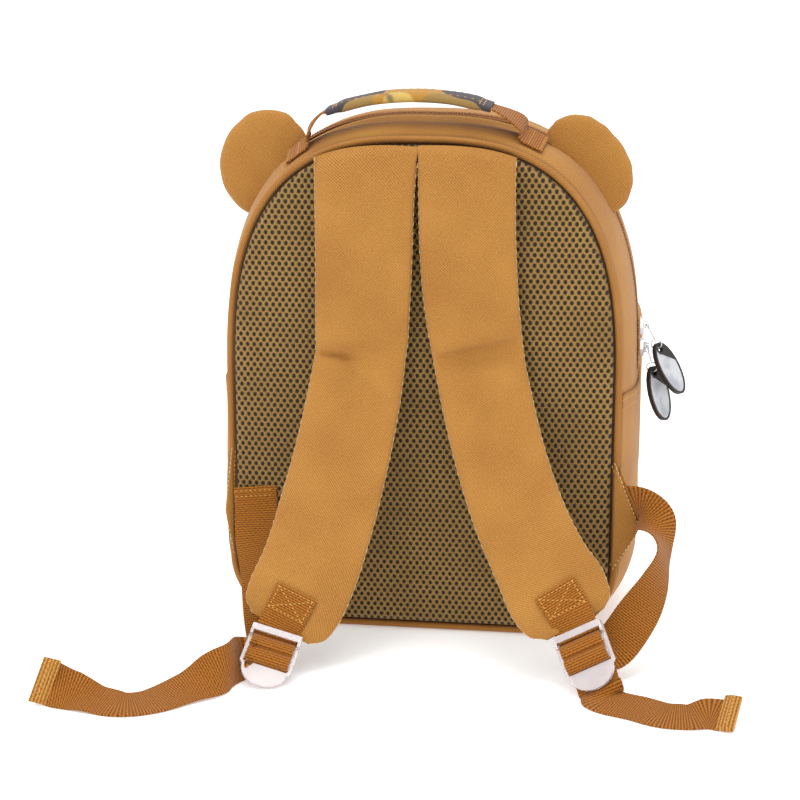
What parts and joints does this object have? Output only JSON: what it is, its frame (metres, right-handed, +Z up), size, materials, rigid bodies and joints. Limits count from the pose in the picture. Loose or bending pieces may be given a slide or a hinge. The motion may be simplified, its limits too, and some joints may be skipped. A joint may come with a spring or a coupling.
{
  "type": "children's backpack",
  "caption": "Child's backpack with round padded ears, air-mesh back, padded shoulder straps on webbing adjusters, side and front pockets, zips with hanging pulls and a top grab handle.",
  "frame": {"origin": "middle of the flat base, on the floor", "axes": "+Z up, +Y from the back panel to the front pocket, +X towards the side with the zip pulls"},
  "size_m": [0.3864, 0.2967, 0.3153],
  "materials": {
    "twill": "woven twill cloth over thin foam",
    "air_mesh": "spacer mesh over foam",
    "piping": "plain cloth over cord",
    "webbing": "ribbed webbing",
    "coil": "nylon coil on woven tape",
    "print_cloth": null,
    "clear_plastic": "milky translucent moulding",
    "rubber": "soft moulded rubber",
    "metal": "plated metal"
  },
  "bodies": {
    "bag": {"body_shell": "twill", "back_panel": "air_mesh", "back_piping": "piping", "main_zip": "coil", "front_pocket": "twill", "front_pocket_zip": "coil", "front_pocket_slider": "metal", "handle_grip": "print_cloth", "ear_left": "twill", "side_pocket_left": "twill", "handle_end_left": "webbing", "wing_left": "twill", "shoulder_strap_left": "twill", "strap_tab_left": "webbing", "buckle_left": "clear_plastic", "adjuster_left": "webbing", "tail_hem_left": "webbing", "ear_right": "twill", "side_pocket_right": "twill", "handle_end_right": "webbing", "wing_right": "twill", "shoulder_strap_right": "twill", "strap_tab_right": "webbing", "buckle_right": "clear_plastic", "adjuster_right": "webbing", "tail_hem_right": "webbing", "slider_upper": "metal", "slider_lower": "metal"},
    "pull_upper": {"bail_upper": "metal", "ring_upper": "metal", "pull_disc_upper": "rubber"},
    "pull_lower": {"bail_lower": "metal", "ring_lower": "metal", "pull_disc_lower": "rubber"}
  },
  "joints": [
    {"name": "pull_upper_hinge", "type": "hinge", "parent": "bag", "child": "pull_upper", "pos_m": [0.12691, 0, 0.17822], "axis": [0, -1, 0], "range_deg": [-3, 125]},
    {"name": "pull_lower_hinge", "type": "hinge", "parent": "bag", "child": "pull_lower", "pos_m": [0.12729, 0, 0.16525], "axis": [0, -1, 0], "range_deg": [-8, 8]}
  ]
}
